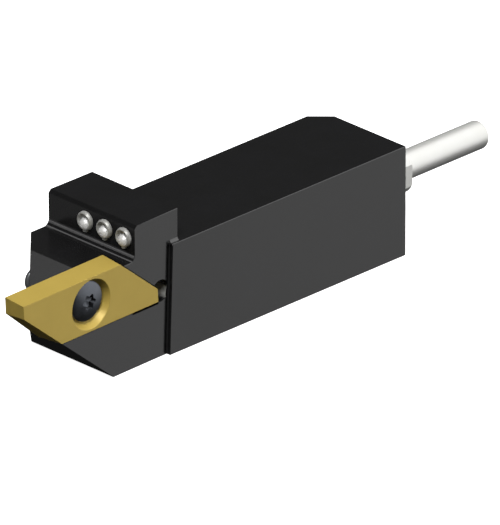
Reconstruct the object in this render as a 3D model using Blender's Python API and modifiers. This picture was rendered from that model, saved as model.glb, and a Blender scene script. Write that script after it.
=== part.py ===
"""Grooving tool holder with a double-ended insert and coolant through the shank.

X runs along the shank, with the cutting head towards -X and the coolant tube
towards +X. Y runs across it, with the insert on the -Y side. Z is up. The
origin is the middle of the shank's bottom face, and all sizes are in metres.
"""
import math

import bmesh
import bpy
from mathutils import Matrix, Vector

# Shank
shank_width = 0.0120
shank_height = 0.0120
shank_length = 0.0326
shank_corner_leg = 0.00195

# Head
head_far_offset = 0.00055
block_height = 0.0034
block_overlap = 0.00115
block_length = 0.00605
block_edge_chamfer = 0.0004
ledge_drop = 0.0004
ledge_length = 0.0054
ledge_fillet_radius = 0.00072
front_slope_deg = 13.0
heel_length = 0.0079
underside_slope_deg = 40.0
head_corner_leg = 0.00295
step_lean_deg = 2.0
step_groove_radius = 0.00028
step_groove_floor = 0.00015
side_fillet_radius = 0.0003

# Insert
insert_end_clearance = 0.001669997
insert_height = 0.00585
insert_thickness = 0.0029
insert_tip_height = 0.00143
insert_flat_length = 0.01354
insert_slope_deg = 40.0
insert_end_relief_deg = 3.3
insert_lead = 0.00033
insert_flank_skew = 0.00044
insert_yaw_deg = 1.05
insert_proud = 0.00011
relief_hole_radius = 0.0012
relief_hole_extra_depth = 0.0004
relief_hole_sink = 0.00005
relief_hole_back = 0.00024
seat_relief_start = 0.01535
seat_relief_depth = 0.0002

# Insert screw
screw_radius = 0.0015
screw_head_radius = 0.0021
screw_head_sink = 0.0005
screw_head_crown = 0.0003
screw_rise = 0.00015
screw_rim_height = 0.00025
screw_cone_height = 0.0008
screw_length = 0.0076
screw_tip_chamfer = 0.0002
countersink_radius = 0.00265
socket_radius = 0.0009
socket_lobe_depth = 0.00013
socket_lobes = 6
socket_depth = 0.0009

# Coolant nozzles
nozzle_count = 3
nozzle_pitch = 0.0027
nozzle_side_distance = 0.001715
nozzle_height = 0.00231
nozzle_ring_radius = 0.001
nozzle_ring_height = 0.00045
nozzle_ring_flat = 0.00082
nozzle_dish_radius = 0.00074
nozzle_dish_depth = 0.0003
nozzle_ball_radius = 0.00058
nozzle_ball_stand = 0.0003
nozzle_ball_drop = 0.00015
nozzle_jet_radius = 0.00015
nozzle_stem_radius = 0.0007
nozzle_stem_length = 0.0012
nozzle_foot_radius = 0.00027
nozzle_foot_stand = 0.0004
nozzle_foot_reach = 0.00134

# Coolant ways
gallery_radius = 0.00095
gallery_depth_behind_face = 0.0026
riser_radius = 0.0009
main_bore_radius = 0.00105
bore_run_on = 0.0003
plug_length = 0.0022
plug_radius_step = 0.00035
plug_socket_radius = 0.00055
plug_socket_depth = 0.0009

# Coolant tube
tube_radius = 0.0015
tube_bore_radius = 0.0008
tube_reach = 0.0166
tube_end_radius = 0.0005
collar_radius = 0.0025
collar_flats = 0.0044
collar_length = 0.00405
tube_stem_length = 0.0060
seal_radius = 0.0022
seal_thickness = 0.0005

# Fits
seat_gap = 0.0001
edge_break = 0.0001
body_edge_break = 0.00004
body_edge_break_from_deg = 30.0
overcut = 0.002

# Facets
round_steps = 40
small_steps = 24
arc_steps = 8
ball_rings = 12

# Places worked out from the sizes
rear_x = shank_length / 2
step_x = -shank_length / 2
near_y = -shank_width / 2
far_y = shank_width / 2
block_rear_x = step_x + block_overlap
face_x = block_rear_x - block_length
lip_x = face_x - ledge_length
heel_x = step_x - heel_length
head_far_y = far_y + head_far_offset
block_top_z = shank_height + block_height
ledge_z = shank_height - ledge_drop
bore_z = shank_height / 2
gallery_x = face_x + gallery_depth_behind_face
gallery_z = ledge_z + nozzle_height
insert_rise = insert_height - insert_tip_height
insert_relief = insert_tip_height * math.tan(math.radians(insert_end_relief_deg))
insert_slope_run = insert_rise / math.tan(math.radians(insert_slope_deg))
insert_length = insert_flat_length + insert_slope_run + insert_relief
insert_reach = insert_length + insert_end_clearance
tip_corner = Vector((step_x - insert_reach, near_y, shank_height))
insert_frame = Matrix.Translation(tip_corner) @ Matrix.Rotation(math.radians(insert_yaw_deg), 4, "Z")
insert_centre = Vector((insert_length / 2, 0.0, -insert_height / 2))
screw_axis_z = insert_centre.z + screw_rise


def clear_scene():
    for thing in list(bpy.data.objects):
        bpy.data.objects.remove(thing, do_unlink=True)


def new_collection(name):
    group = bpy.data.collections.new(name)
    bpy.context.scene.collection.children.link(group)
    return group


def add_object(name, mesh, group, matrix=None):
    thing = bpy.data.objects.new(name, mesh)
    if matrix is not None:
        thing.matrix_world = matrix
    group.objects.link(thing)
    return thing


def as_cutter(thing):
    thing.hide_render = True
    thing.display_type = "WIRE"
    return thing


def make_material(name, colour, roughness, metallic):
    material = bpy.data.materials.new(name)
    material.use_nodes = True
    shader = material.node_tree.nodes["Principled BSDF"]
    shader.inputs["Base Color"].default_value = (*colour, 1.0)
    shader.inputs["Roughness"].default_value = roughness
    shader.inputs["Metallic"].default_value = metallic
    material.diffuse_color = (*colour, 1.0)
    return material


def dress(thing, material, smooth_deg=None):
    thing.data.materials.clear()
    thing.data.materials.append(material)
    if smooth_deg is not None:
        thing.data.shade_smooth()
        thing.data.set_sharp_from_angle(angle=math.radians(smooth_deg))


def arc(centre, radius, start_deg, end_deg, steps):
    """Points along an arc, both ends included."""
    points = []
    for index in range(steps + 1):
        angle = math.radians(start_deg + (end_deg - start_deg) * index / steps)
        points.append((centre[0] + radius * math.cos(angle), centre[1] + radius * math.sin(angle)))
    return points


def outline_solid(name, points, thickness, matrix, group):
    """Fill a flat outline, give it thickness both ways, and return it as a closed mesh."""
    curve = bpy.data.curves.new(name, "CURVE")
    curve.dimensions = "2D"
    curve.fill_mode = "BOTH"
    curve.extrude = thickness / 2
    spline = curve.splines.new("POLY")
    spline.points.add(len(points) - 1)
    for point, place in zip(spline.points, points):
        point.co = (place[0], place[1], 0.0, 1.0)
    spline.use_cyclic_u = True
    guide = add_object(name + "_outline", curve, group, matrix)
    bpy.context.view_layer.update()
    depsgraph = bpy.context.evaluated_depsgraph_get()
    mesh = bpy.data.meshes.new_from_object(guide.evaluated_get(depsgraph))
    mesh.name = name
    placed = guide.matrix_world.copy()
    bpy.data.objects.remove(guide, do_unlink=True)
    weld(mesh)
    return add_object(name, mesh, group, placed)


def weld(mesh):
    shape = bmesh.new()
    shape.from_mesh(mesh)
    bmesh.ops.remove_doubles(shape, verts=shape.verts, dist=1e-7)
    bmesh.ops.recalc_face_normals(shape, faces=shape.faces)
    shape.to_mesh(mesh)
    shape.free()


def side_profile(name, points, low_y, high_y, group):
    """Extrude an X-Z outline across the part, from low_y to high_y."""
    turn = Matrix.Rotation(math.radians(90.0), 4, "X")
    place = Matrix.Translation((0.0, (low_y + high_y) / 2, 0.0)) @ turn
    return outline_solid(name, points, high_y - low_y, place, group)


def box(name, low, high, group, matrix=None):
    """A box between two corners, in its own frame, placed by a matrix."""
    shape = bmesh.new()
    bmesh.ops.create_cube(shape, size=1.0)
    low = Vector(low)
    high = Vector(high)
    size = high - low
    bmesh.ops.scale(shape, vec=size, verts=shape.verts)
    bmesh.ops.translate(shape, vec=(low + high) / 2, verts=shape.verts)
    mesh = bpy.data.meshes.new(name)
    shape.to_mesh(mesh)
    shape.free()
    return add_object(name, mesh, group, matrix)


def cylinder(name, radius, start, end, group, segments):
    """A round bar between two points."""
    start = Vector(start)
    end = Vector(end)
    run = end - start
    shape = bmesh.new()
    bmesh.ops.create_cone(
        shape, cap_ends=True, segments=segments, radius1=radius, radius2=radius, depth=run.length)
    mesh = bpy.data.meshes.new(name)
    shape.to_mesh(mesh)
    shape.free()
    turn = Vector((0.0, 0.0, 1.0)).rotation_difference(run.normalized()).to_matrix().to_4x4()
    return add_object(name, mesh, group, Matrix.Translation((start + end) / 2) @ turn)


def ball(name, radius, centre, group):
    shape = bmesh.new()
    bmesh.ops.create_uvsphere(shape, u_segments=small_steps, v_segments=ball_rings, radius=radius)
    mesh = bpy.data.meshes.new(name)
    shape.to_mesh(mesh)
    shape.free()
    return add_object(name, mesh, group, Matrix.Translation(centre))


def turned(name, profile, matrix, group, steps):
    """Spin a closed (radius, height) profile about its own Z axis, top to bottom on the outside."""
    shape = bmesh.new()
    corners = [shape.verts.new((radius, 0.0, height)) for radius, height in profile]
    for index in range(len(corners) - 1):
        shape.edges.new((corners[index], corners[index + 1]))
    if profile[0][0] > 0.0:
        shape.edges.new((corners[-1], corners[0]))
    mesh = bpy.data.meshes.new(name)
    shape.to_mesh(mesh)
    shape.free()
    thing = add_object(name, mesh, group, matrix)
    screw = thing.modifiers.new("turn", "SCREW")
    screw.axis = "Z"
    screw.angle = math.radians(360.0)
    screw.steps = steps
    screw.render_steps = steps
    screw.use_merge_vertices = True
    screw.merge_threshold = 1e-6
    screw.use_smooth_shade = True
    return thing


def combine(thing, other, operation):
    modifier = thing.modifiers.new(other.name, "BOOLEAN")
    modifier.operation = operation
    modifier.solver = "EXACT"
    modifier.object = other
    return as_cutter(other)


def cut(thing, other):
    return combine(thing, other, "DIFFERENCE")


def join(thing, other):
    return combine(thing, other, "UNION")


def along(start, direction):
    """A frame at a point whose Z axis points along a direction."""
    turn = Vector((0.0, 0.0, 1.0)).rotation_difference(Vector(direction).normalized())
    return Matrix.Translation(start) @ turn.to_matrix().to_4x4()


def head_outline():
    """The head from the side: block, ledge with its fillet, sloped lip, underside and heel."""
    front_run = math.tan(math.radians(90.0 - front_slope_deg))
    under_run = 1.0 / math.tan(math.radians(underside_slope_deg))
    nose_z = (lip_x - ledge_z * front_run - heel_x) / -(front_run + under_run)
    nose_x = heel_x - nose_z * under_run
    points = [(block_rear_x, 0.0), (block_rear_x, block_top_z)]
    points += [(face_x + block_edge_chamfer, block_top_z), (face_x, block_top_z - block_edge_chamfer)]
    fillet = (face_x - ledge_fillet_radius, ledge_z + ledge_fillet_radius)
    points += arc(fillet, ledge_fillet_radius, 0.0, -90.0, arc_steps)
    points += [(lip_x, ledge_z), (nose_x, nose_z), (heel_x, 0.0)]
    return points


def insert_outline(tip_back, flank_out, grow=0.0):
    """The insert from the side, in its own frame with the tip's top edge at zero.

    tip_back shortens both cutting ends, flank_out moves both slopes outwards, and
    grow moves every side outwards for a clearance.
    """
    slope = math.radians(insert_slope_deg)
    corner_shift = grow * math.tan(slope / 2)
    end_lift = flank_out * math.tan(slope) + grow * (1.0 / math.cos(slope) - math.tan(slope))
    half = [
        (tip_back - grow, grow),
        (insert_flat_length + flank_out + corner_shift, grow),
        (insert_length - insert_relief - tip_back + grow, -insert_rise + end_lift),
    ]
    centre = insert_centre
    other = [(2 * centre.x - x, 2 * centre.z - z) for x, z in half]
    return half + other


def loft(name, near, far, thickness, matrix, group):
    """Bridge two matching X-Z outlines that lie a thickness apart."""
    shape = bmesh.new()
    rings = []
    for outline, depth in ((near, 0.0), (far, thickness)):
        ring = [shape.verts.new((x, depth, z)) for x, z in outline]
        rings.append([shape.edges.new((ring[i - 1], ring[i])) for i in range(len(ring))])
        shape.faces.new(ring)
    bmesh.ops.bridge_loops(shape, edges=rings[0] + rings[1])
    bmesh.ops.triangulate(shape, faces=shape.faces)
    bmesh.ops.recalc_face_normals(shape, faces=shape.faces)
    mesh = bpy.data.meshes.new(name)
    shape.to_mesh(mesh)
    shape.free()
    return add_object(name, mesh, group, matrix)


def lobed_outline(radius, lobe_depth, lobes, points_per_lobe=8):
    points = []
    total = lobes * points_per_lobe
    for index in range(total):
        angle = math.tau * index / total
        reach = radius - lobe_depth + lobe_depth * math.cos(lobes * angle)
        points.append((reach * math.cos(angle), reach * math.sin(angle)))
    return points


def polygon_outline(radius, sides):
    return [(radius * math.cos(math.tau * i / sides), radius * math.sin(math.tau * i / sides))
            for i in range(sides)]


def insert_point(x, depth, z):
    """A point given in the insert's own frame, as a place on the part."""
    return insert_frame @ Vector((x, depth, z))


def nozzle_places():
    return [Vector((face_x, near_y + nozzle_side_distance + index * nozzle_pitch, gallery_z))
            for index in range(nozzle_count)]


def make_body(parts, cutters, material):
    body = side_profile("tool_body", head_outline(), near_y - overcut, head_far_y, parts)

    # The side relief turns with the insert, which stands slightly proud of it
    relief_frame = insert_frame @ Matrix.Translation((0.0, insert_proud, 0.0))
    reach = insert_reach + block_overlap + overcut
    cut(body, box("side_relief", (-overcut, -overcut * 3, -shank_height - overcut),
                  (reach, 0.0, block_height + overcut), cutters, relief_frame))

    # The far front corner is taken off upright at 45 degrees
    corner = Vector((lip_x + head_corner_leg, head_far_y, 0.0))
    corner_frame = Matrix.Translation(corner) @ Matrix.Rotation(math.radians(225.0), 4, "Z")
    side = insert_reach + head_corner_leg
    cut(body, box("corner_cut", (-side, -side, -overcut),
                  (side, 0.0, block_top_z + overcut), cutters, corner_frame))

    join(body, make_shank(cutters))
    break_edges(body)
    join(body, make_side_fillet(cutters))
    cut_step_groove(body, cutters)
    cut_pocket(body, cutters)
    cut_coolant_ways(body, cutters)
    dress(body, material)
    return body


def break_edges(thing):
    bevel = thing.modifiers.new("edge_break", "BEVEL")
    bevel.width = body_edge_break
    bevel.segments = 1
    bevel.use_clamp_overlap = False
    bevel.limit_method = "ANGLE"
    bevel.angle_limit = math.radians(body_edge_break_from_deg)


def make_shank(cutters):
    """The square shank, whose front end is stepped where the side relief begins."""
    inner = step_x - heel_length / 2
    outline = [(inner, near_y), (rear_x, near_y), (rear_x, far_y - shank_corner_leg),
               (rear_x - shank_corner_leg, far_y), (inner, far_y)]
    place = Matrix.Translation((0.0, 0.0, shank_height / 2))
    shank = outline_solid("shank", outline, shank_height, place, cutters)
    lean = Matrix.Rotation(math.radians(step_lean_deg), 4, "Y")
    step_frame = Matrix.Translation((step_x, near_y, shank_height)) @ lean
    depth = relief_depth_at_step() + overcut / 2
    cut(shank, box("step_cut", (-heel_length, -overcut, -shank_height - overcut),
                   (0.0, depth, overcut), cutters, step_frame))
    return shank


def relief_depth_at_step():
    """How far the relieved side lies inside the shank's side at the step."""
    return insert_proud + insert_reach * math.tan(math.radians(insert_yaw_deg))


def make_side_fillet(cutters):
    """The small fillet between the block's side and the shank's top behind the step."""
    radius = side_fillet_radius
    sink = radius
    outline = [(sink, -sink), (-radius, -sink)]
    outline += arc((-radius, radius), radius, -90.0, 0.0, arc_steps)
    outline += [(sink, radius)]
    length = block_overlap - 2 * body_edge_break
    start = Vector((step_x + body_edge_break, near_y + relief_depth_at_step(), shank_height))
    turn = Matrix.Rotation(math.radians(90.0), 4, "Z") @ Matrix.Rotation(math.radians(90.0), 4, "X")
    place = Matrix.Translation(start + Vector((length / 2, 0.0, 0.0))) @ turn
    return outline_solid("side_fillet", outline, length, place, cutters)


def cut_step_groove(body, cutters):
    """A fine upright groove in the step's inner corner, as the grinding wheel needs."""
    lean = math.tan(math.radians(step_lean_deg)) * (shank_height - step_groove_floor)
    y = near_y + relief_depth_at_step()
    low = (step_x - lean, y, step_groove_floor)
    high = (step_x, y, shank_height - side_fillet_radius / 2)
    cut(body, cylinder("step_groove", step_groove_radius, low, high, cutters, small_steps))


def pocket_outline(depth):
    """The seat at a depth: it follows the insert's slope and runs out past the tip.

    Its floor is let down a little at the rear, so that the insert bears on the front.
    """
    outline = insert_outline(0.0, insert_flank_skew * depth / insert_thickness, seat_gap)
    rear_top, rear_upper, rear_low = outline[1], outline[2], outline[3]
    floor = rear_low[1]
    relieved = floor - seat_relief_depth
    return [(-overcut, floor), (seat_relief_start, floor), (seat_relief_start, relieved),
            (rear_low[0], relieved), rear_upper, rear_top, (-overcut, rear_top[1])]


def cut_pocket(body, cutters):
    """The seat for the insert, the hole that clears its rear edge, and the screw hole."""
    depth = insert_thickness + seat_gap
    mouth = insert_frame @ Matrix.Translation((0.0, -overcut, 0.0))
    cut(body, loft("pocket", pocket_outline(-overcut), pocket_outline(depth), depth + overcut,
                   mouth, cutters))

    hole_x = insert_length + seat_gap + relief_hole_back
    hole_z = -insert_height - seat_gap + relief_hole_radius - relief_hole_sink
    start = insert_point(hole_x, -overcut, hole_z)
    end = insert_point(hole_x, depth + relief_hole_extra_depth, hole_z)
    cut(body, cylinder("relief_hole", relief_hole_radius, start, end, cutters, round_steps))

    start = insert_point(insert_centre.x, 0.0, screw_axis_z)
    end = insert_point(insert_centre.x, screw_length + 2 * overcut, screw_axis_z)
    cut(body, cylinder("screw_hole", screw_radius + seat_gap, start, end, cutters, small_steps))


def cut_coolant_ways(body, cutters):
    """Rear socket, main bore, riser from below, cross gallery and nozzle bores."""
    socket_start = (rear_x + overcut, 0.0, bore_z)
    socket_end = (rear_x - tube_stem_length - seat_gap, 0.0, bore_z)
    socket_radius_here = tube_radius + seat_gap
    cut(body, cylinder("tube_socket", socket_radius_here, socket_start, socket_end, cutters, round_steps))

    main_end = (gallery_x - bore_run_on, 0.0, bore_z)
    cut(body, cylinder("main_bore", main_bore_radius, (rear_x, 0.0, bore_z), main_end,
                       cutters, small_steps))
    cut(body, cylinder("riser", riser_radius, (gallery_x, 0.0, -overcut),
                       (gallery_x, 0.0, gallery_z + bore_run_on), cutters, small_steps))
    riser_seat = riser_radius + plug_radius_step + seat_gap
    cut(body, cylinder("riser_seat", riser_seat, (gallery_x, 0.0, -overcut),
                       (gallery_x, 0.0, plug_length + 2 * seat_gap), cutters, small_steps))

    first = nozzle_places()[0]
    gallery_end = first.y - nozzle_stem_radius
    cut(body, cylinder("gallery", gallery_radius, (gallery_x, gallery_end, gallery_z),
                       (gallery_x, head_far_y + overcut, gallery_z), cutters, small_steps))
    gallery_seat = gallery_radius + plug_radius_step + seat_gap
    cut(body, cylinder("gallery_seat", gallery_seat,
                       (gallery_x, head_far_y - plug_length - 2 * seat_gap, gallery_z),
                       (gallery_x, head_far_y + overcut, gallery_z), cutters, small_steps))
    for index, place in enumerate(nozzle_places()):
        cut(body, cylinder(f"nozzle_bore_{index + 1}", nozzle_stem_radius + seat_gap,
                           place - Vector((overcut, 0.0, 0.0)), (gallery_x, place.y, place.z),
                           cutters, small_steps))


def make_insert(parts, cutters, material):
    near = insert_outline(0.0, 0.0)
    far = insert_outline(insert_lead, insert_flank_skew)
    insert = loft("cutting_insert", near, far, insert_thickness, insert_frame, parts)
    clear = screw_radius + screw_rise + seat_gap
    seat = screw_head_radius + screw_rise + seat_gap / 2
    seat_depth = screw_head_sink + screw_rim_height
    cone_run = screw_cone_height * (seat - clear) / (screw_head_radius - screw_radius)
    profile = [
        (0.0, overcut), (countersink_radius, overcut), (countersink_radius, 0.0),
        (seat, -seat_depth), (clear, -seat_depth - cone_run),
        (clear, -insert_thickness - overcut), (0.0, -insert_thickness - overcut),
    ]
    start = insert_point(insert_centre.x, 0.0, insert_centre.z)
    outwards = insert_frame.to_3x3() @ Vector((0.0, -1.0, 0.0))
    cut(insert, turned("countersink", profile, along(start, outwards), cutters, round_steps))
    dress(insert, material)
    return insert


def crown(radius, height):
    """Half of a shallow dome, from its top on the axis out to its rim at height zero."""
    sphere = (radius ** 2 + height ** 2) / (2 * height)
    half_deg = math.degrees(math.asin(radius / sphere))
    points = arc((0.0, height - sphere), sphere, 90.0, 90.0 - half_deg, arc_steps)
    return [(0.0, height)] + points[1:]


def make_screw(parts, cutters, material):
    """Countersunk screw with a lobed socket, seen from the near side."""
    start = insert_point(insert_centre.x, screw_head_sink, screw_axis_z)
    outwards = insert_frame.to_3x3() @ Vector((0.0, -1.0, 0.0))
    under_head = -screw_rim_height - screw_cone_height
    profile = crown(screw_head_radius - edge_break, screw_head_crown) + [
        (screw_head_radius, -edge_break), (screw_head_radius, -screw_rim_height),
        (screw_radius, under_head),
        (screw_radius, -screw_length + screw_tip_chamfer),
        (screw_radius - screw_tip_chamfer, -screw_length), (0.0, -screw_length),
    ]
    frame = along(start, outwards)
    screw = turned("insert_screw", profile, frame, parts, round_steps)
    outline = lobed_outline(socket_radius, socket_lobe_depth, socket_lobes)
    socket = outline_solid("screw_socket", outline, 2 * socket_depth, frame, cutters)
    cut(screw, socket)
    dress(screw, material, 35.0)
    return screw


def make_nozzle(index, place, parts, cutters, material):
    """A small turned jet: a ring around a ball that carries the jet hole, with a foot below."""
    name = f"coolant_nozzle_{index + 1}"
    front = seat_gap + nozzle_ring_height
    dish = front - nozzle_dish_depth
    profile = [
        (0.0, dish), (nozzle_dish_radius, dish), (nozzle_dish_radius, front),
        (nozzle_ring_flat, front), (nozzle_ring_radius, front - nozzle_ring_height / 2),
        (nozzle_ring_radius, seat_gap), (nozzle_stem_radius, seat_gap),
        (nozzle_stem_radius, -nozzle_stem_length), (0.0, -nozzle_stem_length),
    ]
    nozzle = turned(name, profile, along(place, (-1.0, 0.0, 0.0)), parts, small_steps)
    centre = place + Vector((-seat_gap - nozzle_ball_stand, 0.0, -nozzle_ball_drop))
    join(nozzle, ball(f"{name}_ball", nozzle_ball_radius, centre, cutters))
    top = place + Vector((-nozzle_foot_stand, 0.0, -nozzle_dish_radius))
    end = place + Vector((-nozzle_foot_stand, 0.0, -nozzle_foot_reach))
    join(nozzle, cylinder(f"{name}_foot", nozzle_foot_radius, top, end, cutters, small_steps))
    jet_end = centre - Vector((overcut, 0.0, 0.0))
    jet_start = centre + Vector((nozzle_stem_length + overcut, 0.0, 0.0))
    cut(nozzle, cylinder(f"{name}_jet", nozzle_jet_radius, jet_start, jet_end, cutters, small_steps))
    dress(nozzle, material, 35.0)
    return nozzle


def make_plug(name, place, outwards, radius, parts, cutters, material):
    """A set screw with a six-sided socket that closes a drilled way."""
    profile = [
        (0.0, 0.0), (radius - edge_break, 0.0), (radius, -edge_break),
        (radius, -plug_length + edge_break), (radius - edge_break, -plug_length), (0.0, -plug_length),
    ]
    frame = along(place, outwards)
    plug = turned(name, profile, frame, parts, small_steps)
    outline = polygon_outline(plug_socket_radius, 6)
    cut(plug, outline_solid(f"{name}_socket", outline, 2 * plug_socket_depth, frame, cutters))
    dress(plug, material, 35.0)
    return plug


def make_tube(parts, cutters, material):
    """The coolant tube, turned with its stem and its collar, which has two wrench flats."""
    frame = along((rear_x, 0.0, bore_z), (1.0, 0.0, 0.0))
    collar_base = seal_thickness + 2 * seat_gap
    collar_end = collar_base + collar_length
    corner = (tube_radius - tube_end_radius, tube_reach - tube_end_radius)
    profile = [(tube_bore_radius, tube_reach)] + arc(corner, tube_end_radius, 90.0, 0.0, arc_steps)
    profile += [
        (tube_radius, collar_end), (collar_radius - edge_break, collar_end),
        (collar_radius, collar_end - edge_break), (collar_radius, collar_base + edge_break),
        (collar_radius - edge_break, collar_base), (tube_radius, collar_base),
        (tube_radius, -tube_stem_length), (tube_bore_radius, -tube_stem_length),
    ]
    tube = turned("coolant_tube", profile, frame, parts, round_steps)
    for side in (-1.0, 1.0):
        lift = Matrix.Translation((0.0, side * collar_flats / 2, 0.0))
        low = (-collar_radius, min(0.0, side * overcut), collar_base - seat_gap / 2)
        high = (collar_radius, max(0.0, side * overcut), collar_end + seat_gap)
        cut(tube, box("wrench_flat", low, high, cutters, frame @ lift))
    dress(tube, material, 35.0)
    return tube


def make_seal(parts, material):
    frame = along((rear_x + seat_gap, 0.0, bore_z), (1.0, 0.0, 0.0))
    inner = tube_radius + seat_gap
    profile = [(inner, seal_thickness), (seal_radius, seal_thickness), (seal_radius, 0.0), (inner, 0.0)]
    seal = turned("tube_seal", profile, frame, parts, round_steps)
    dress(seal, material, 35.0)
    return seal


def build():
    clear_scene()
    parts = new_collection("grooving_tool_holder")
    cutters = new_collection("cutters")
    black_steel = make_material("black_oxide_steel", (0.028, 0.028, 0.028), 0.45, 0.6)
    coated_carbide = make_material("gold_coated_carbide", (0.62, 0.45, 0.13), 0.35, 0.8)
    dark_steel = make_material("dark_screw_steel", (0.03, 0.032, 0.035), 0.35, 0.7)
    bright_steel = make_material("bright_steel", (0.72, 0.72, 0.70), 0.22, 1.0)
    copper = make_material("soft_copper", (0.62, 0.30, 0.17), 0.4, 1.0)

    make_body(parts, cutters, black_steel)
    make_insert(parts, cutters, coated_carbide)
    make_screw(parts, cutters, dark_steel)
    for index, place in enumerate(nozzle_places()):
        make_nozzle(index, place, parts, cutters, bright_steel)
    riser_place = Vector((gallery_x, 0.0, seat_gap))
    make_plug("riser_plug", riser_place, (0.0, 0.0, -1.0), riser_radius + plug_radius_step,
              parts, cutters, dark_steel)
    gallery_place = Vector((gallery_x, head_far_y - seat_gap, gallery_z))
    make_plug("gallery_plug", gallery_place, (0.0, 1.0, 0.0), gallery_radius + plug_radius_step,
              parts, cutters, dark_steel)
    make_tube(parts, cutters, bright_steel)
    make_seal(parts, copper)


build()
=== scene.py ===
# %% [markdown]
# # Dressing a grooving tool holder in Blender
# A lathe holds this tool by its square black shank. A gold insert at its front cuts
# the groove, three bright jets wash it, and a bright tube at the rear brings the
# coolant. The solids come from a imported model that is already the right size. The
# lesson adds what the model leaves plain: rounded edges, the thread, the sockets,
# the finishes and the light.

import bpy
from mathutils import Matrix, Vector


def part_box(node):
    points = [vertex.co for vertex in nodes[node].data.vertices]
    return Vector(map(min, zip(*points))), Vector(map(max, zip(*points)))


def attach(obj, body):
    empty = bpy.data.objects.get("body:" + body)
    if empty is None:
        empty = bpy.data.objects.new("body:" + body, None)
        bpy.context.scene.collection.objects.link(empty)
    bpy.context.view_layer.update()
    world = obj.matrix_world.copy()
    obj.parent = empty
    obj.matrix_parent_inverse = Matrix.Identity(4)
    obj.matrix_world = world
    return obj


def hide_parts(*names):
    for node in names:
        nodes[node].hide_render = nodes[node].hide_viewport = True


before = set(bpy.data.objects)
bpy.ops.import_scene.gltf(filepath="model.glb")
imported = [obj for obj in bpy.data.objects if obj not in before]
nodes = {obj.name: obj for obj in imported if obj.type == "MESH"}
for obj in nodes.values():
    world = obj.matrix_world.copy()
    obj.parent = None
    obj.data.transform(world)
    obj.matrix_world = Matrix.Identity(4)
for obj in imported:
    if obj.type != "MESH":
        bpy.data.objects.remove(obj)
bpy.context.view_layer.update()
print("solids:", ", ".join(sorted(nodes)))

# %% [markdown]
# ## Tools for the lesson
# A bmesh is Blender's mesh in script form: operators make and change it, and it is
# written to an object at the end. The next cells hold the few helpers that all
# the pieces share. Sizes are written in millimetres times `mm`.

# %% Imports and the unit
import math

import bmesh
import bpy
from mathutils import Matrix, Vector

mm = 0.001
fine_steps = 96
small_steps = 48
merge_distance = 1e-7
print("one millimetre is", mm, "Blender units")


# %% A turned shape
def turned(profile, steps, rounding, arc_steps=3):
    """Spin (radius, height) corners about Z, with the corners off the axis rounded first."""
    shape = bmesh.new()
    corners = [shape.verts.new((radius, 0.0, height)) for radius, height in profile]
    for start, end in zip(corners, corners[1:]):
        shape.edges.new((start, end))
    if profile[0][0] > 0.0:
        shape.edges.new((corners[-1], corners[0]))
    off_axis = [corner for corner in corners if corner.co.x > 0.0]
    bmesh.ops.bevel(
        shape, geom=off_axis, offset=rounding, offset_type="OFFSET", segments=arc_steps,
        profile=0.5, affect="VERTICES", material=-1)
    bmesh.ops.spin(
        shape, geom=shape.verts[:] + shape.edges[:], cent=(0.0, 0.0, 0.0),
        axis=(0.0, 0.0, 1.0), angle=math.tau, steps=steps, use_merge=True)
    return tidy(shape)


def tidy(shape):
    """Merge what coincides and turn every face outwards."""
    bmesh.ops.remove_doubles(shape, verts=shape.verts, dist=merge_distance)
    bmesh.ops.recalc_face_normals(shape, faces=shape.faces)
    return shape


# %% Cutting and joining
def combine(shape, tool, operation):
    """Cut or join two closed shapes with a Boolean modifier and return one shape."""
    pair = []
    for source in (shape, tool):
        mesh = bpy.data.meshes.new("combine")
        source.to_mesh(mesh)
        source.free()
        thing = bpy.data.objects.new("combine", mesh)
        bpy.context.scene.collection.objects.link(thing)
        pair.append(thing)
    modifier = pair[0].modifiers.new("combine", "BOOLEAN")
    modifier.operation = operation
    modifier.object = pair[1]
    result = bmesh.new()
    result.from_object(pair[0], bpy.context.evaluated_depsgraph_get())
    for thing in pair:
        mesh = thing.data
        bpy.data.objects.remove(thing, do_unlink=True)
        bpy.data.meshes.remove(mesh)
    return tidy(result)


# %% Placing
# Edges sharper than so many degrees stay crisp: on the body, on the insert and the
# tube with their flats, and on the small turned pieces
body_crease = 5.0
flats_crease = 28.0
turned_crease = 32.0


def pointing(start, direction):
    """A frame at a point whose Z axis looks along a direction."""
    turn = Vector((0.0, 0.0, 1.0)).rotation_difference(Vector(direction))
    return Matrix.Translation(start) @ turn.to_matrix().to_4x4()


def face_middle(name, outwards):
    """The middle of the face that a solid's box turns to one side."""
    low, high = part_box(name)
    return [(a + b) / 2 + side * (b - a) / 2 for a, b, side in zip(low, high, outwards)]


def finish_piece(name, shape, place, material, slot, crease):
    """Write a shape to an object in its place, to stand for the CAD node of that name."""
    bmesh.ops.transform(shape, matrix=place, verts=shape.verts)
    tidy(shape)
    mesh = bpy.data.meshes.new(name + "_fine")
    shape.to_mesh(mesh)
    shape.free()
    mesh.shade_smooth()
    mesh.set_sharp_from_angle(angle=math.radians(crease))
    mesh.materials.append(material)
    piece = bpy.data.objects.new(name + "_fine", mesh)
    bpy.context.scene.collection.objects.link(piece)
    normals = piece.modifiers.new("even_normals", "WEIGHTED_NORMAL")
    normals.keep_sharp = True
    # The bright pieces stay out of reflections, so they leave no streaks on the black faces
    piece.visible_glossy = slot == "black_oxide_steel"
    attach(piece, "root")
    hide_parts(name)
    print(piece.name, "has", len(mesh.polygons), "faces")
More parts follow.
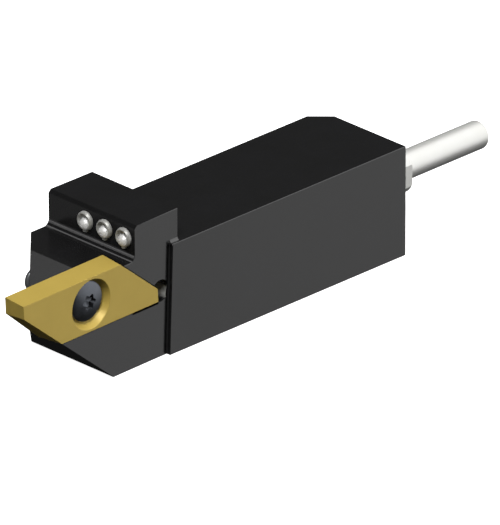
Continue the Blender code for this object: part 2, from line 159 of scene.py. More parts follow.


# %% [markdown]
# ## Colours and nodes
# A shader works with linear light, while a colour given as a hex value is an sRGB value.
# One function turns the hex colours below to linear ones. A second adds a node with
# its settings and links. There could be a function for each kind of node, but one that
# takes Blender's own names says as much and has to be learnt only once.

# %% Colour and node helpers
# A mix of colours has them at inputs 6 and 7 and its result at output 2. A mix of
# numbers has them at inputs 2 and 3 and its result at output 0.
first_colour, second_colour, mixed_colour = 6, 7, 2
first_number, second_number, mixed_number = 2, 3, 0


def linear(hex_colour):
    """An sRGB hex colour as linear red, green, blue and alpha."""
    channels = []
    for place in (0, 2, 4):
        value = int(hex_colour[place:place + 2], 16) / 255
        channels.append(value / 12.92 if value <= 0.04045 else ((value + 0.055) / 1.055) ** 2.4)
    return (*channels, 1.0)


def fill(tree, node, inputs):
    """Set or link a node's inputs by name or number."""
    for name, value in inputs.items():
        if isinstance(value, bpy.types.NodeSocket):
            tree.links.new(value, node.inputs[name])
        else:
            node.inputs[name].default_value = value


def add_node(tree, kind, settings, inputs):
    """Add a shader node of a kind, such as Mix, set its properties and fill its inputs."""
    node = tree.nodes.new("ShaderNode" + kind)
    for name, value in settings.items():
        setattr(node, name, value)
    fill(tree, node, inputs)
    return node


def new_material(name):
    """A material with its node tree and its Principled shader."""
    material = bpy.data.materials.new(name)
    material.use_nodes = True
    tree = material.node_tree
    return material, tree, tree.nodes["Principled BSDF"]


print("mid grey 808080 is", round(linear("808080")[0], 3), "in linear light")

# %% Patterns that the finishes share
# A pattern is the spacing of its grains, its detail, and its stretch along X, Y and Z,
# where a number below one makes the grains longer
unstretched = (1.0, 1.0, 1.0)
noise_low = 0.3
noise_high = 0.7
mask_margin = 0.01 * mm


def pattern_noise(tree, pattern):
    """Noise on the piece's own coordinates, with grains one spacing apart."""
    spacing, detail, stretch = pattern
    place = add_node(tree, "TexCoord", {}, {})
    stretched = add_node(tree, "Mapping", {}, {"Vector": place.outputs["Object"], "Scale": stretch})
    noise = add_node(tree, "TexNoise", {}, {
        "Vector": stretched.outputs["Vector"], "Scale": 1.0 / spacing, "Detail": detail,
        "Roughness": 0.6})
    return noise.outputs["Fac"]


def drifting_value(tree, pattern, low, high):
    """A number that drifts between two values with a pattern, whose noise stays near a half."""
    drift = add_node(tree, "MapRange", {}, {
        "Value": pattern_noise(tree, pattern), "From Min": noise_low, "From Max": noise_high,
        "To Min": low, "To Max": high})
    return drift.outputs["Result"]


def drifting_colour(tree, pattern, dark, light):
    """A colour that drifts between two hex colours with a pattern."""
    drift = add_node(tree, "Mix", {"data_type": "RGBA"}, {
        "Factor": drifting_value(tree, pattern, 0.0, 1.0),
        first_colour: linear(dark), second_colour: linear(light)})
    return drift.outputs[mixed_colour]


def pattern_relief(tree, pattern, depth):
    """The bumps of a pattern, of a real depth."""
    relief = add_node(tree, "Bump", {}, {
        "Height": pattern_noise(tree, pattern), "Distance": depth, "Strength": 0.5})
    return relief.outputs["Normal"]


print("a pattern's noise is read from", noise_low, "to", noise_high)

# %% [markdown]
# ## Black oxide on ground steel
# The body is milled and ground from tool steel and then blackened in hot salts. The
# oxide is magnetite, a dark skin that isn't a metal but mirrors more than glass does.
# Its IOR is about 2.4, and the oil that seals it brings that down to about 2. It has
# almost no colour of its own, so what the eye sees is its soft reflection. The
# grinding marks run along the shank. Real ones are about 0.03 mm apart, too fine for
# this picture, so they are drawn 0.12 mm apart and very shallow. In the round hole
# behind the insert, a band of the wall is painted a pale bare-steel grey. This is a painted
# highlight where the wall catches the light. The band could be a ring of faces with its
# own material. A mask by place keeps the body's faces whole.

# %% The painted highlight band in the relief hole
insert_low, insert_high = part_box("cutting_insert")
relief_back = 0.32 * mm
relief_rise = 1.05 * mm
relief_middle = (insert_high[0] + relief_back, 0.0, insert_low[2] + relief_rise)
relief_radius = 1.2 * mm
relief_end = 5.0 * mm
band_drop = 0.42 * mm
band_reach = 0.62 * mm


def hole_highlight_band(tree):
    """One on the hole's wall at the painted highlight's level, fading to zero above and below it.
    """
    place = add_node(tree, "TexCoord", {}, {})
    centred = add_node(tree, "Mapping", {}, {
        "Vector": place.outputs["Object"], "Location": [-value for value in relief_middle]})
    parts = add_node(tree, "SeparateXYZ", {}, {"Vector": centred.outputs["Vector"]})
    across = add_node(tree, "VectorMath", {"operation": "MULTIPLY"}, {
        0: centred.outputs["Vector"], 1: (1.0, 0.0, 1.0)})
    reach = add_node(tree, "VectorMath", {"operation": "LENGTH"}, {0: across.outputs["Vector"]})
    inside = add_node(tree, "Math", {"operation": "LESS_THAN"}, {
        0: reach.outputs["Value"], 1: relief_radius + mask_margin})
    raised = add_node(tree, "Math", {"operation": "ADD"}, {0: parts.outputs["Z"], 1: band_drop})
    off_level = add_node(tree, "Math", {"operation": "ABSOLUTE"}, {0: raised.outputs["Value"]})
    level = add_node(tree, "MapRange", {}, {
        "Value": off_level.outputs["Value"], "From Min": band_reach / 2, "From Max": band_reach,
        "To Min": 1.0, "To Max": 0.0})
    # The hole is blind, so the band ends well before the body's far side
    near = add_node(tree, "Math", {"operation": "LESS_THAN"}, {
        0: parts.outputs["Y"], 1: relief_end})
    both = add_node(tree, "Math", {"operation": "MULTIPLY"}, {
        0: inside.outputs["Value"], 1: level.outputs["Result"]})
    band = add_node(tree, "Math", {"operation": "MULTIPLY"}, {
        0: both.outputs["Value"], 1: near.outputs["Value"]})
    return band.outputs["Value"]


print("hole behind the insert:", [round(value / mm, 2) for value in relief_middle], "mm")

# %% Black oxide
oxide_marks = (0.12 * mm, 3.0, (0.03, 1.0, 1.0))
oxide_clouds = (4.0 * mm, 4.0, unstretched)
oxide_mark_depth = 0.0002 * mm
# Roughness and metal of the painted highlight band in the relief hole
hole_highlight_roughness = 0.6
hole_highlight_metallic = 0.5


def make_black_oxide():
    """Seen as a deep black with soft grey reflections, faintly streaked along the shank, with a
    painted highlight band in the hole.
    """
    material, tree, shader = new_material("black_oxide_ground_steel")
    # The hole's wall gets a pale bare-steel grey as a painted highlight
    hole_highlight = hole_highlight_band(tree)
    colour = add_node(tree, "Mix", {"data_type": "RGBA"}, {
        "Factor": hole_highlight, first_colour: drifting_colour(tree, oxide_clouds, "191919", "1c1c1d"),
        second_colour: linear("acaca8")})
    rough = add_node(tree, "Mix", {}, {
        "Factor": hole_highlight, first_number: drifting_value(tree, oxide_marks, 0.17, 0.21),
        second_number: hole_highlight_roughness})
    metal = add_node(tree, "Math", {"operation": "MULTIPLY"}, {0: hole_highlight, 1: hole_highlight_metallic})
    fill(tree, shader, {
        "Base Color": colour.outputs[mixed_colour], "Roughness": rough.outputs[mixed_number],
        "Normal": pattern_relief(tree, oxide_marks, oxide_mark_depth),
        "Metallic": metal.outputs["Value"], "IOR": 2.0})
    return material


black_oxide = make_black_oxide()
print("body finish:", black_oxide.name)

# %% [markdown]
# ## The coolant block's top edge
# The picture shows the front edge of the block's top as a narrow chamfer between two
# crisp lines. The model has a wider one with softened lines. Both have the same faces,
# so nothing is cut here. In a copy of the body, the points along the two lines slide
# in their faces to the new lines, and what falls together is merged.

# %% Block edge
block_front = -21.2 * mm
block_top = 15.4 * mm
model_chamfer = 0.4 * mm
edge_chamfer = 0.33 * mm
edge_search = 0.08 * mm


def slide_line(shape, line, target):
    """Move the points near a line along Y, given as x and z, to another such line."""
    moved = [point for point in shape.verts
             if abs(point.co.x - line[0]) < edge_search and abs(point.co.z - line[1]) < edge_search]
    for point in moved:
        point.co.x, point.co.z = target
    return len(moved)


body_shape = bmesh.new()
body_shape.from_mesh(nodes["tool_body"].data)
bmesh.ops.remove_doubles(body_shape, verts=body_shape.verts, dist=merge_distance)
upper_points = slide_line(
    body_shape, (block_front + model_chamfer, block_top), (block_front + edge_chamfer, block_top))
lower_points = slide_line(
    body_shape, (block_front, block_top - model_chamfer), (block_front, block_top - edge_chamfer))
print("points moved:", upper_points, "above and", lower_points, "below")
finish_piece("tool_body", body_shape, Matrix.Identity(4), black_oxide, "black_oxide_steel",
             body_crease)

# %% [markdown]
# ## The gold coating
# The insert is sintered carbide under a few micrometres of titanium nitride, a
# gold-coloured metal. Sintered carbide is never polished all over, so the coating
# scatters light like satin, and the colour barely changes with the angle. Grains of
# about 0.002 mm can't be drawn here, so the pattern is 0.2 mm wide and faint.

# %% Titanium nitride
coating_grains = (0.2 * mm, 3.0, unstretched)
coating_clouds = (2.5 * mm, 3.0, unstretched)
coating_grain_depth = 0.001 * mm


def make_gold_coating():
    """Seen as an even satin gold, without sharp reflections."""
    material, tree, shader = new_material("titanium_nitride_coated_carbide")
    fill(tree, shader, {
        "Base Color": drifting_colour(tree, coating_clouds, "ceb255", "d2b658"),
        "Roughness": drifting_value(tree, coating_grains, 0.4, 0.46),
        "Normal": pattern_relief(tree, coating_grains, coating_grain_depth), "Metallic": 0.15})
    return material


gold_coating = make_gold_coating()
print("insert finish:", gold_coating.name)

# %% [markdown]
# ## Dark screw steel, bright turned steel and copper
# The screws are heat-treated steel with a thin, bluish-black oxide, shinier than the
# body because a lathe left them smooth. The screw steel turns paler grey and less
# metallic towards the far side, on the tail of the insert's screw and on the far plug.
# The tube is stainless steel, turned, so its fine marks go round the axis. The seal is
# soft copper, dulled by handling. Each could be one metal with other colours, but each
# has its own marks, so each is a function of its own.

# %% Screw steel
screw_clouds = (0.8 * mm, 4.0, unstretched)
paler_from = 0.5 * mm
paler_to = 1.0 * mm


def make_screw_steel():
    """Seen as dark bluish metal with soft highlights, and paler and less metallic towards the far
    side.
    """
    material, tree, shader = new_material("blackened_screw_steel")
    place = add_node(tree, "TexCoord", {}, {})
    parts = add_node(tree, "SeparateXYZ", {}, {"Vector": place.outputs["Object"]})
    # Paler grey and less metallic towards the far side, from Y 0.5 mm to 1 mm on
    paler_far_side = add_node(tree, "MapRange", {}, {
        "Value": parts.outputs["Y"], "From Min": paler_from, "From Max": paler_to,
        "To Min": 0.0, "To Max": 1.0})
    colour = add_node(tree, "Mix", {"data_type": "RGBA"}, {
        "Factor": paler_far_side.outputs["Result"], second_colour: linear("7a7c7e"),
        first_colour: drifting_colour(tree, screw_clouds, "62666c", "6b6f76")})
    metal = add_node(tree, "MapRange", {}, {
        "Value": paler_far_side.outputs["Result"], "To Min": 0.9, "To Max": 0.5})
    fill(tree, shader, {
        "Base Color": colour.outputs[mixed_colour], "Metallic": metal.outputs["Result"],
        "Roughness": drifting_value(tree, screw_clouds, 0.3, 0.38)})
    return material


screw_steel = make_screw_steel()
print("screw finish:", screw_steel.name)

# %% Bright turned steel
# The tool's feed leaves marks 0.1 mm apart along X, the axis of the tube, and long round it
turned_marks = (0.1 * mm, 2.0, (1.0, 0.05, 0.05))
turned_clouds = (3.0 * mm, 3.0, unstretched)
turned_mark_depth = 0.0008 * mm


def make_turned_steel():
    """Seen as near-white metal with one soft highlight along it."""
    material, tree, shader = new_material("turned_stainless_steel")
    fill(tree, shader, {
        "Base Color": drifting_colour(tree, turned_clouds, "f3f3ee", "f8f8f5"),
        "Roughness": drifting_value(tree, turned_marks, 0.34, 0.42),
        "Normal": pattern_relief(tree, turned_marks, turned_mark_depth), "Metallic": 0.5})
    return material


turned_steel = make_turned_steel()
print("tube finish:", turned_steel.name)

# %% Copper
copper_clouds = (0.6 * mm, 4.0, unstretched)


def make_copper():
    """Seen as dull orange metal, uneven where it was handled."""
    material, tree, shader = new_material("annealed_copper")
    fill(tree, shader, {
        "Base Color": drifting_colour(tree, copper_clouds, "a8623f", "c07a52"),
        "Roughness": drifting_value(tree, copper_clouds, 0.35, 0.5), "Metallic": 1.0})
    return material


copper = make_copper()
print("seal finish:", copper.name)

# %% [markdown]
# ## The insert
# The insert is a flat parallelogram with a cutting end at each tip. Its far side is
# a little shorter at the tips and longer along the slopes, so that only the near
# edges touch the groove. It could be a box with four cuts. Here two outlines of
# six corners are bridged, because the skew then follows from two numbers. The
# edges are honed to 0.03 mm, so they catch a thin line of light.

# %% Insert sizes
insert_height = 5.85 * mm
insert_thickness = 2.9 * mm
insert_tip_height = 1.43 * mm
insert_flat = 13.54 * mm
insert_slope = math.radians(40.0)
insert_end_slope = math.radians(3.3)
insert_yaw = math.radians(1.05)
insert_lead = 0.33 * mm
insert_skew = 0.44 * mm
insert_hone = 0.03 * mm
insert_rise = insert_height - insert_tip_height
insert_relief = insert_tip_height * math.tan(insert_end_slope)
insert_length = insert_flat + insert_rise / math.tan(insert_slope) + insert_relief
insert_middle = Vector((insert_length / 2, 0.0, -insert_height / 2))
# The box is the one read for the hole behind the insert
tip_corner = Vector((insert_low[0], insert_low[1], insert_high[2]))
insert_place = Matrix.Translation(tip_corner) @ Matrix.Rotation(insert_yaw, 4, "Z")
print("insert is", round(insert_length / mm, 2), "mm from tip to tip")


# %% Insert body
def insert_side(shape, depth, tip_back, slope_out):
    """One side as a face of six corners. Half of them, turned about the middle, give the rest."""
    half = [
        (tip_back, 0.0), (insert_flat + slope_out, 0.0),
        (insert_length - insert_relief - tip_back,
         slope_out * math.tan(insert_slope) - insert_rise),
    ]
    other = [(2 * insert_middle.x - x, 2 * insert_middle.z - z) for x, z in half]
    ring = [shape.verts.new((x, depth, z)) for x, z in half + other]
    shape.faces.new(ring)
    return [shape.edges.get((ring[i - 1], ring[i])) for i in range(len(ring))]


def make_insert_block():
    shape = bmesh.new()
    near = insert_side(shape, 0.0, 0.0, 0.0)
    far = insert_side(shape, insert_thickness, insert_lead, insert_skew)
    bmesh.ops.bridge_loops(shape, edges=near + far)
    bmesh.ops.recalc_face_normals(shape, faces=shape.faces)
    bmesh.ops.bevel(
        shape, geom=shape.edges[:], offset=insert_hone, offset_type="OFFSET", segments=2,
        profile=0.5, affect="EDGES", material=-1)
    return shape


insert_block = make_insert_block()
print("insert block has", len(insert_block.faces), "faces")

# %% [markdown]
# ## The hole in the insert
# The screw's hole opens in a wide funnel that leaves a bright ring of coating
# around the screw's head. A plain cone and a bevel on the cut edge could make it. A
# turned cutter with a flared, rounded lip does both in one cut.

# %% Funnel cutter
hole_radius = 1.75 * mm
funnel_radius = 2.65 * mm
funnel_seat_radius = 2.3 * mm
funnel_depth = 0.75 * mm
funnel_rounding = 0.02 * mm
seat_depth = 1.48 * mm
lip = 0.04 * mm
beyond = 2.0 * mm


def make_funnel():
    """Built round Z, with Z pointing out of the near side."""
    profile = [
        (0.0, beyond), (funnel_radius + lip, beyond), (funnel_radius + lip, 0.0),
        (funnel_radius - lip / 2, -lip), (funnel_seat_radius, -funnel_depth),
        (hole_radius, -seat_depth), (hole_radius, -insert_thickness - beyond),
        (0.0, -insert_thickness - beyond),
    ]
    shape = turned(profile, fine_steps, funnel_rounding)
    upright = pointing(insert_middle, (0.0, -1.0, 0.0))
    bmesh.ops.transform(shape, matrix=upright, verts=shape.verts)
    return shape


insert_shape = combine(insert_block, make_funnel(), "DIFFERENCE")
finish_piece("cutting_insert", insert_shape, insert_place, gold_coating, "gold_coated_carbide",
             flats_crease)

# %% [markdown]
# ## The insert screw
# One M3 countersunk screw holds the insert. Its head is slightly domed and has a
# six-lobed socket, and its tail stands out of the far front corner. The head
# and shank are turned in one go. The thread could be a spiral swept round the
# shank, but then two surfaces would cross. Instead the shank has many thin rings, and
# each point moves in or out by its height and angle, which leaves one closed skin.

# %% Screw sizes
head_radius = 2.1 * mm
head_sink = 0.5 * mm
head_crown = 0.3 * mm
crown_margin = 0.12 * mm
crown_drop = 0.1 * mm
rim_height = 0.25 * mm
cone_height = 0.8 * mm
thread_radius = 1.5 * mm
thread_pitch = 0.5 * mm
thread_depth = 0.27 * mm
thread_start = 2.4 * mm
thread_rounding = 0.004 * mm
screw_length = 7.6 * mm
screw_rise = 0.15 * mm
tail_chamfer = 0.35 * mm
rings_per_pitch = 8
crown_steps = 8
screw_axis = insert_place.to_3x3() @ Vector((0.0, -1.0, 0.0))
screw_start = insert_place @ (insert_middle + Vector((0.0, 0.0, screw_rise)))


# %% Screw blank
def dome(radius, height):
    """Half of a shallow dome, from the axis to its rim at height zero."""
    sphere = (radius ** 2 + height ** 2) / (2 * height)
    half = math.asin(radius / sphere)
    angles = [half * index / crown_steps for index in range(crown_steps + 1)]
    return [(sphere * math.sin(a), sphere * math.cos(a) - sphere + height) for a in angles]


def make_screw_blank():
    """The head at zero and the shank below it, with a ring at each step of the thread."""
    run = screw_length - tail_chamfer - thread_start
    rings = round(run / thread_pitch * rings_per_pitch)
    profile = dome(head_radius - crown_margin, head_crown)
    profile += [(head_radius, -crown_drop), (head_radius, -rim_height)]
    profile += [(thread_radius, -rim_height - cone_height)]
    profile += [(thread_radius, -thread_start - run * index / rings) for index in range(rings + 1)]
    profile += [(thread_radius - tail_chamfer, -screw_length), (0.0, -screw_length)]
    return turned(profile, fine_steps, thread_rounding, arc_steps=1)


screw_shape = make_screw_blank()
print("screw blank has", len(screw_shape.verts), "points")


# %% Thread
def cut_thread(shape):
    """Move the shank's points in by a rounded wave that climbs one pitch a turn."""
    top = -thread_start
    low = -screw_length + tail_chamfer / 2
    for point in shape.verts:
        reach = math.hypot(point.co.x, point.co.y)
        if low < point.co.z < top and reach > thread_radius - tail_chamfer:
            turns = point.co.z / thread_pitch - math.atan2(point.co.y, point.co.x) / math.tau
            wave = 0.5 + 0.5 * math.cos(math.tau * turns)
            fade = min(1.0, (top - point.co.z) / thread_pitch)
            keep = 1.0 - thread_depth * wave * fade / thread_radius
            point.co.x *= keep
            point.co.y *= keep


cut_thread(screw_shape)
print("thread pitch", thread_pitch / mm, "mm")

# %% [markdown]
# ## The sockets
# A lobed socket is a circle whose radius swells six times in one turn, so a wave
# on the radius draws it. The set screws have plain hexagons. Both are an extruded
# outline with a pointed floor, as the punch leaves it, taken out of the head.

# %% Socket cutters
def socket_cutter(radii, depth, floor_drop):
    """Extrude a closed outline, given as radii around Z, from above zero down to its floor."""
    shape = bmesh.new()
    angles = [math.tau * index / len(radii) for index in range(len(radii))]
    ring = [shape.verts.new((reach * math.cos(angle), reach * math.sin(angle), depth))
            for reach, angle in zip(radii, angles)]
    top = shape.faces.new(ring)
    pushed = bmesh.ops.extrude_face_region(shape, geom=[top])
    lower = [item for item in pushed["geom"] if isinstance(item, bmesh.types.BMVert)]
    bmesh.ops.translate(shape, vec=(0.0, 0.0, -2.0 * depth), verts=lower)
    floor = [item for item in pushed["geom"] if isinstance(item, bmesh.types.BMFace)]
    centre = bmesh.ops.poke(shape, faces=floor)["verts"]
    bmesh.ops.translate(shape, vec=(0.0, 0.0, -floor_drop), verts=centre)
    return tidy(shape)


socket_lobes = 6
socket_points = 72
socket_radius = 0.9 * mm
socket_depth = 0.36 * mm
socket_point = 0.1 * mm
lobe_depth = 0.13 * mm
lobed = [socket_radius - lobe_depth
         + lobe_depth * math.cos(socket_lobes * math.tau * index / socket_points)
         for index in range(socket_points)]
screw_shape = combine(
    screw_shape, socket_cutter(lobed, socket_depth, socket_point), "DIFFERENCE")
screw_place = pointing(screw_start - screw_axis * head_sink, screw_axis)
finish_piece("insert_screw", screw_shape, screw_place, screw_steel, "dark_screw_steel",
             turned_crease)

# %% [markdown]
# ## The coolant jets
# Each jet is a small pressed-in ring with a ball in it that carries the jet hole, and
# a little foot below. Ring and foot are blasted to a satin grey. The ball carries a painted
# highlight. It is painted whiter, and one material tells it by its distance from the ball's middle.
# One turned profile can't make a jet, because ball and foot lie off the ring's axis.
# So three simple shapes are joined into one, and the hole is drilled last. A loop
# places the three jets from their solids' boxes.

# %% Jet sizes
ring_radius = 1.0 * mm
ring_height = 0.45 * mm
ring_flat = 0.86 * mm
ring_rounding = 0.04 * mm
dish_radius = 0.76 * mm
dish_depth = 0.3 * mm
dish_lean = 0.06 * mm
ball_radius = 0.68 * mm
ball_stand = 0.02 * mm
ball_drop = 0.35 * mm
jet_radius = 0.1 * mm
jet_steps = 16
jet_rounding = 0.01 * mm
stem_radius = 0.7 * mm
stem_length = 1.2 * mm
foot_radius = 0.27 * mm
foot_stand = 0.2 * mm
foot_reach = 1.17 * mm
foot_rounding = 0.05 * mm
seat_gap = 0.1 * mm


# %% Satin steel with a painted highlight on the balls
# Blasting leaves grains of about 0.05 mm, too fine to show, so they are drawn 0.3 mm wide
def jet_start(name):
    """The middle of a jet's seat in the block, from its solid's box."""
    low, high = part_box(name)
    return Vector((high[0] - stem_length, (low[1] + high[1]) / 2, high[2] - ring_radius))


jet_names = ("coolant_nozzle_1", "coolant_nozzle_2", "coolant_nozzle_3")
jet_pitch = abs(jet_start(jet_names[1]).y - jet_start(jet_names[0]).y)
first_ball = jet_start(jet_names[0]) - Vector((seat_gap + ball_stand, 0.0, ball_drop))
satin_clouds = (0.3 * mm, 3.0, unstretched)


def make_satin_steel():
    """Seen as soft light grey, with the balls painted whiter as their highlight. The balls lie one
    pitch apart along Y.
    """
    material, tree, shader = new_material("satin_stainless_steel")
    place = add_node(tree, "TexCoord", {}, {})
    centred = add_node(tree, "Mapping", {}, {
        "Vector": place.outputs["Object"], "Location": [-value for value in first_ball]})
    parts = add_node(tree, "SeparateXYZ", {}, {"Vector": centred.outputs["Vector"]})
    across = add_node(tree, "Math", {"operation": "WRAP"}, {
        0: parts.outputs["Y"], 1: jet_pitch / 2, 2: -jet_pitch / 2})
    joined = add_node(tree, "CombineXYZ", {}, {
        "X": parts.outputs["X"], "Y": across.outputs["Value"], "Z": parts.outputs["Z"]})
    reach = add_node(tree, "VectorMath", {"operation": "LENGTH"}, {0: joined.outputs["Vector"]})
    # The balls' whiter colour is a painted highlight
    ball = add_node(tree, "Math", {"operation": "LESS_THAN"}, {
        0: reach.outputs["Value"], 1: ball_radius + mask_margin})
    colour = add_node(tree, "Mix", {"data_type": "RGBA"}, {
        "Factor": ball.outputs["Value"], second_colour: linear("fcfcfa"),
        first_colour: drifting_colour(tree, satin_clouds, "b0b0ac", "b8b8b4")})
    fill(tree, shader, {
        "Base Color": colour.outputs[mixed_colour], "Metallic": 0.3,
        "Roughness": drifting_value(tree, satin_clouds, 0.4, 0.46)})
    return material


satin_steel = make_satin_steel()
print("jet finish:", satin_steel.name)


# %% Ring, ball and foot
def make_jet():
    """Built round Z, with Z pointing out of the block and X pointing down the block's face."""
    front = seat_gap + ring_height
    dish = front - dish_depth
    shape = turned([
        (0.0, dish), (dish_radius - dish_lean, dish), (dish_radius, front), (ring_flat, front),
        (ring_radius, front - ring_height / 2), (ring_radius, seat_gap), (stem_radius, seat_gap),
        (stem_radius, -stem_length), (0.0, -stem_length)], small_steps, ring_rounding)
    ball = bmesh.new()
    bmesh.ops.create_uvsphere(
        ball, u_segments=small_steps, v_segments=small_steps // 2, radius=ball_radius)
    bmesh.ops.translate(ball, vec=(ball_drop, 0.0, seat_gap + ball_stand), verts=ball.verts)
    shape = combine(shape, ball, "UNION")
    foot = turned([
        (0.0, foot_reach), (foot_radius, foot_reach), (foot_radius, dish_radius),
        (0.0, dish_radius)], small_steps // 2, foot_rounding)
    lie = pointing((0.0, 0.0, foot_stand), (1.0, 0.0, 0.0))
    bmesh.ops.transform(foot, matrix=lie, verts=foot.verts)
    shape = combine(shape, foot, "UNION")
    drill = turned([
        (0.0, beyond), (jet_radius, beyond), (jet_radius, -beyond), (0.0, -beyond)],
        jet_steps, jet_rounding, arc_steps=1)
    bmesh.ops.translate(drill, vec=(ball_drop, 0.0, 0.0), verts=drill.verts)
    return combine(shape, drill, "DIFFERENCE")


# %% Three jets in a loop
face_down = Matrix(((0.0, 0.0, -1.0), (0.0, 1.0, 0.0), (-1.0, 0.0, 0.0))).to_4x4()
for name in jet_names:
    place = Matrix.Translation(jet_start(name)) @ face_down
    finish_piece(name, make_jet(), place, satin_steel, "bright_steel", turned_crease)

# %% [markdown]
# ## The plugs and the seal
# Two set screws close the drilled coolant ways, one below and one on the far side.
# They are short turned studs with a hexagon socket, and one function makes both,
# because only their radius and their side differ. The seal is a thin copper washer,
# whose edges are rounded by the press.

# %% Set screws
plug_length = 2.2 * mm
plug_chamfer = 0.12 * mm
plug_rounding = 0.02 * mm
hexagon_radius = 0.55 * mm
hexagon_depth = 0.9 * mm
hexagon_point = 0.12 * mm


def make_plug(radius):
    """A stud with its face at zero and its socket open upwards."""
    shape = turned([
        (0.0, 0.0), (radius - plug_chamfer, 0.0), (radius, -plug_chamfer),
        (radius, plug_chamfer - plug_length), (radius - plug_chamfer, -plug_length),
        (0.0, -plug_length)], small_steps, plug_rounding)
    socket = socket_cutter([hexagon_radius] * 6, hexagon_depth, hexagon_point)
    return combine(shape, socket, "DIFFERENCE")


plug_sides = {"riser_plug": (0.0, 0.0, -1.0), "gallery_plug": (0.0, 1.0, 0.0)}
for name, outwards in plug_sides.items():
    low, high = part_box(name)
    place = pointing(face_middle(name, outwards), outwards)
    plug_shape = make_plug((high[0] - low[0]) / 2)
    finish_piece(name, plug_shape, place, screw_steel, "dark_screw_steel", turned_crease)

# %% Copper seal
seal_low, seal_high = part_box("tube_seal")
seal_height = seal_high[0] - seal_low[0]
seal_outer = (seal_high[1] - seal_low[1]) / 2
seal_inner = 1.6 * mm
seal_rounding = 0.12 * mm
seal_shape = turned([
    (seal_inner, seal_height), (seal_outer, seal_height), (seal_outer, 0.0), (seal_inner, 0.0)],
    fine_steps, seal_rounding, arc_steps=4)
seal_place = pointing(face_middle("tube_seal", (-1.0, 0.0, 0.0)), (1.0, 0.0, 0.0))
finish_piece("tube_seal", seal_shape, seal_place, copper, "soft_copper", turned_crease)

# %% [markdown]
# ## The coolant tube
# The tube is turned with its collar in one piece, and two wrench flats are milled on
# the collar. Its end is rounded so that it slips into a hose. The profile gives the
# turned form. Points pushed in would leave the flats uneven, so two boxes cut them.

# %% Tube sizes
tube_low, tube_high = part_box("coolant_tube")
tube_radius = 1.5 * mm
tube_bore = 0.8 * mm
tube_stem = 6.0 * mm
tube_end_round = 0.5 * mm
tube_rounding = 0.015 * mm
collar_radius = 2.5 * mm
collar_flats = 4.4 * mm
collar_base = 0.7 * mm
collar_length = 4.05 * mm
collar_edge = 0.1 * mm
flat_overrun = 0.1 * mm
tube_reach = tube_high[0] - tube_low[0] - tube_stem
tube_start = (tube_low[0] + tube_stem, 0.0, (tube_low[2] + tube_high[2]) / 2)
print("tube stands out by", round(tube_reach / mm, 2), "mm")


# %% Tube
def round_end(radius, height, rounding, steps=10):
    """A quarter turn from the end face to the side."""
    angles = [math.pi / 2 * index / steps for index in range(steps + 1)]
    return [(radius - rounding + rounding * math.sin(a), height - rounding + rounding * math.cos(a))
            for a in angles]


def make_tube():
    """Built round Z, with zero at the shank's rear face."""
    collar_end = collar_base + collar_length
    profile = [(tube_bore, tube_reach)] + round_end(tube_radius, tube_reach, tube_end_round)
    profile += [
        (tube_radius, collar_end), (collar_radius - collar_edge, collar_end),
        (collar_radius, collar_end - collar_edge), (collar_radius, collar_base + collar_edge),
        (collar_radius - collar_edge, collar_base), (tube_radius, collar_base),
        (tube_radius, -tube_stem), (tube_bore, -tube_stem)]
    shape = turned(profile, fine_steps, tube_rounding)
    middle = collar_base + collar_length / 2
    size = (3 * collar_radius, collar_radius, collar_length + flat_overrun)
    for side in (-1.0, 1.0):
        flat = bmesh.new()
        bmesh.ops.create_cube(flat, size=1.0)
        bmesh.ops.scale(flat, vec=size, verts=flat.verts)
        across = side * (collar_flats + collar_radius) / 2
        bmesh.ops.translate(flat, vec=(0.0, across, middle), verts=flat.verts)
        shape = combine(shape, flat, "DIFFERENCE")
    return shape


tube_place = pointing(tube_start, (1.0, 0.0, 0.0))
finish_piece("coolant_tube", make_tube(), tube_place, turned_steel, "bright_steel",
             flats_crease)

# %% [markdown]
# ## The camera
# The picture has hardly any perspective, so the camera stands two metres off with a
# very long lens. Its turn and height come from the directions of the tool's
# straight edges, and its aim puts the rear face where it belongs in the frame.

# %% Camera
view_turn = math.radians(-44.793)
view_lift = math.radians(25.223)
view_distance = 2122.1 * mm
aim_right = 11.313 * mm
aim_up = 2.5461 * mm
focal_length = 1455.15
sensor_width = 36.0
right = Vector((math.cos(view_turn), math.sin(view_turn), 0.0))
back = Vector((math.sin(view_turn) * math.cos(view_lift),
               -math.cos(view_turn) * math.cos(view_lift), math.sin(view_lift)))
up = back.cross(right)
rear_face = Vector((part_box("tool_body")[1][0], 0.0, 0.0))
eye = rear_face - aim_right * right - aim_up * up + view_distance * back
lens = bpy.data.cameras.new("camera")
lens.lens = focal_length
lens.sensor_width = sensor_width
lens.clip_start = 0.1
lens.clip_end = 50.0
camera = bpy.data.objects.new("camera", lens)
bpy.context.scene.collection.objects.link(camera)
turn = Matrix((right, up, back)).transposed().to_4x4()
camera.matrix_world = Matrix.Translation(eye) @ turn
bpy.context.scene.camera = camera
print("camera stands", round(view_distance, 2), "m away")

# %% [markdown]
# ## The floor
# The tool lies on a plain white sheet that is so bright that it shows no shadow. The
# sheet glows to stay white from every side, and it lies a hair below the tool, so that
# its face and the shank's don't share one plane. It stays out of the reflections, so
# that each face of the tool mirrors only its own panel of light.

# %% Floor
floor_gap = 0.02 * mm
floor_half_width = 2.0
paper_fibres = (1.5 * mm, 3.0, unstretched)


def make_paper():
    """Seen as plain white, with no gloss and no shadow."""
    material, tree, shader = new_material("white_paper")
    fill(tree, shader, {
        "Base Color": drifting_colour(tree, paper_fibres, "f4f4f4", "f8f8f8"), "Roughness": 0.9,
        "Specular IOR Level": 0.0, "Emission Color": linear("ffffff"), "Emission Strength": 1.0})
    return material


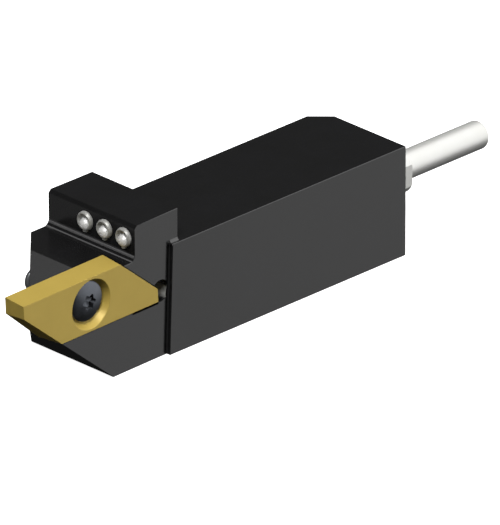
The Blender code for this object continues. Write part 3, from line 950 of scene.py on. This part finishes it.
def make_floor():
    shape = bmesh.new()
    bmesh.ops.create_grid(shape, x_segments=1, y_segments=1, size=floor_half_width)
    bmesh.ops.translate(shape, vec=(0.0, 0.0, -floor_gap), verts=shape.verts)
    mesh = bpy.data.meshes.new("floor")
    shape.to_mesh(mesh)
    shape.free()
    mesh.materials.append(make_paper())
    sheet = bpy.data.objects.new("floor", mesh)
    sheet.visible_glossy = False
    sheet.visible_diffuse = False
    bpy.context.scene.collection.objects.link(sheet)
    return sheet


floor = make_floor()
print("floor is", floor.dimensions.x, "m wide")

# %% [markdown]
# ## The light
# A glossy black part is lit by what it mirrors, so the studio is a dark room with a
# few large soft panels. Each panel is a smooth round patch in the world background.
# The sides turned away from the picture mirror no panel, so a dim band lies round the
# horizon for them. It fades out on the window's side, where it would grey the faces
# that the picture shows dark.

# %% Soft panels in the world background
# Each panel: turn and lift of its direction and its half width in degrees, and its brightness
panels = {
    "key": (-143.0, 58.0, 14.0, 12.7),
    "window": (-30.0, 25.0, 49.0, 1.12),
    "front_side": (135.0, -27.0, 18.0, 0.065),
    "rear": (45.0, 28.0, 22.0, 0.022),
    "front_slope": (61.0, 43.0, 5.0, 0.36),
    "ledge_line_low": (140.0, 8.0, 9.0, 1.1),
    "ledge_line_high": (86.0, 53.0, 11.0, 0.8),
}
panel_softness = 0.25
room_brightness = 0.01
# The band: the sines of the lifts where it starts, is full, starts to fade and ends
band_levels = (-0.46, -0.3, -0.05, 0.15)
band_brightness = 0.09
window_side = (0.707, -0.707, 0.0)
window_fade = (0.3, 0.8)


smooth = {"interpolation_type": "SMOOTHSTEP"}


def horizon_band(tree, looking):
    """The room's own light and the dim band round its horizon."""
    start, full, fading, end = band_levels
    height = add_node(tree, "SeparateXYZ", {}, {"Vector": looking}).outputs["Z"]
    rise = add_node(tree, "MapRange", smooth, {
        "Value": height, "From Min": start, "From Max": full, "To Min": 0.0, "To Max": 1.0})
    fall = add_node(tree, "MapRange", smooth, {
        "Value": height, "From Min": fading, "From Max": end,
        "To Min": band_brightness, "To Max": 0.0})
    side = add_node(tree, "VectorMath", {"operation": "DOT_PRODUCT"}, {
        0: looking, 1: window_side})
    away = add_node(tree, "MapRange", smooth, {
        "Value": side.outputs["Value"], "From Min": window_fade[0], "From Max": window_fade[1],
        "To Min": 1.0, "To Max": 0.0})
    ends = add_node(tree, "Math", {"operation": "MULTIPLY"}, {
        0: rise.outputs["Result"], 1: away.outputs["Result"]})
    band = add_node(tree, "Math", {"operation": "MULTIPLY_ADD"}, {
        0: ends.outputs["Value"], 1: fall.outputs["Result"], 2: room_brightness})
    return band.outputs["Value"]


def soft_panel(tree, looking, panel):
    """A round patch of light with a soft rim."""
    turn_deg, lift_deg, half_deg, brightness = panel
    turn, lift = math.radians(turn_deg), math.radians(lift_deg)
    way = (math.cos(turn) * math.cos(lift), math.sin(turn) * math.cos(lift), math.sin(lift))
    toward = add_node(tree, "VectorMath", {"operation": "DOT_PRODUCT"}, {0: looking, 1: way})
    patch = add_node(tree, "MapRange", smooth, {
        "Value": toward.outputs["Value"],
        "From Min": math.cos(math.radians(half_deg * (1 + panel_softness))),
        "From Max": math.cos(math.radians(half_deg * (1 - panel_softness))),
        "To Min": 0.0, "To Max": brightness})
    return patch.outputs["Result"]


def make_world():
    """The band, with every panel added to it."""
    world = bpy.data.worlds.new("studio")
    world.use_nodes = True
    tree = world.node_tree
    looking = add_node(tree, "TexCoord", {}, {}).outputs["Generated"]
    light = horizon_band(tree, looking)
    for panel in panels.values():
        light = add_node(tree, "Math", {"operation": "ADD"}, {
            0: light, 1: soft_panel(tree, looking, panel)}).outputs["Value"]
    fill(tree, tree.nodes["Background"], {"Color": light})
    return world


bpy.context.scene.world = make_world()
bpy.context.scene.view_settings.view_transform = "Standard"
print("soft panels:", len(panels))
